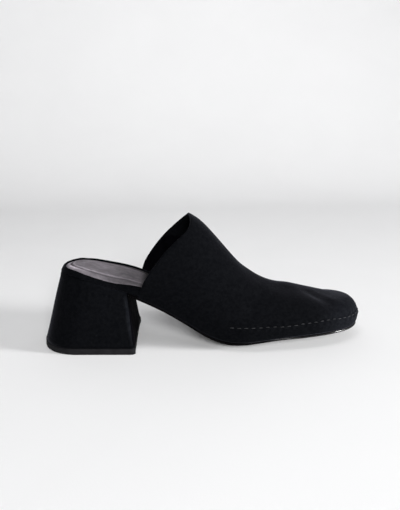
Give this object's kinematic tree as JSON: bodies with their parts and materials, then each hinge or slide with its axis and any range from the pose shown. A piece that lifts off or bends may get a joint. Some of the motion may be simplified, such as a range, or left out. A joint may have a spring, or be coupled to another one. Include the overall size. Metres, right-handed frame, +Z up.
{
  "type": "block heel mule",
  "caption": "Suede slip-on mule with a soft square toe, a deep one-piece vamp, an open back and a flared block heel.",
  "frame": {"origin": "on the floor under the middle of the shoe's bounding box", "axes": "+X along the foot towards the toe, +Z up, -Y towards the outer side of the foot"},
  "size_m": [0.2538, 0.08, 0.1016],
  "materials": {
    "suede": "matte napped suede",
    "sole_sheet": "smooth satin sheet",
    "sock_leather": "smooth satin leather",
    "lift_rubber": "satin rubber"
  },
  "bodies": {
    "root": {"upper": "suede", "outsole": "sole_sheet", "footbed": "suede", "sock_lining": "sock_leather", "heel": "suede", "heel_lift": "lift_rubber"}
  },
  "joints": []
}
